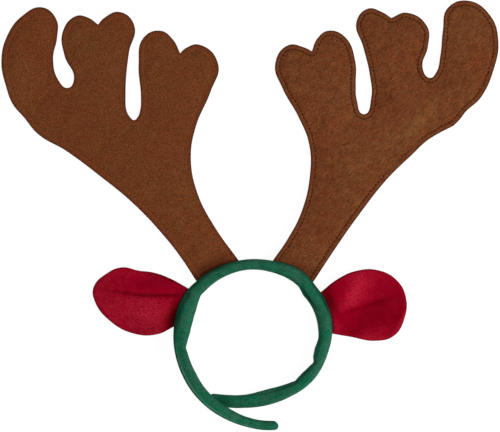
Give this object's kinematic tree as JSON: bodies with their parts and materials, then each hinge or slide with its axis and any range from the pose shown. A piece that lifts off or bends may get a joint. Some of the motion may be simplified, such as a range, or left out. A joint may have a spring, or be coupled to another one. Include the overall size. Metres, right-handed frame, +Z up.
{
  "type": "reindeer antler headband",
  "caption": "Open hoop headband in a green cloth cover with flat sewn brown felt antlers and folded red felt ears, lying on its back.",
  "frame": {"origin": "on the surface that it lies on, under the middle of its outline", "axes": "+Z up from the surface that it lies on, +Y from the hoop towards the antlers' tips, +X to the right seen from above with the antlers at the top"},
  "size_m": [0.3728, 0.3213, 0.0254],
  "materials": {
    "green_cover": "brushed cloth sleeve, dark green",
    "brown_felt_left": "short-nap felt, brown, tone-on-tone seam",
    "brown_felt_right": "brushed felt, warm brown, dark topstitching",
    "red_felt": "short-nap felt, deep red"
  },
  "bodies": {
    "root": {"hoop": "green_cover", "antler_left_front": "brown_felt_left", "antler_left_back": "brown_felt_left", "antler_right_front": "brown_felt_right", "antler_right_back": "brown_felt_right", "ear_left": "red_felt", "ear_right": "red_felt"}
  },
  "joints": []
}
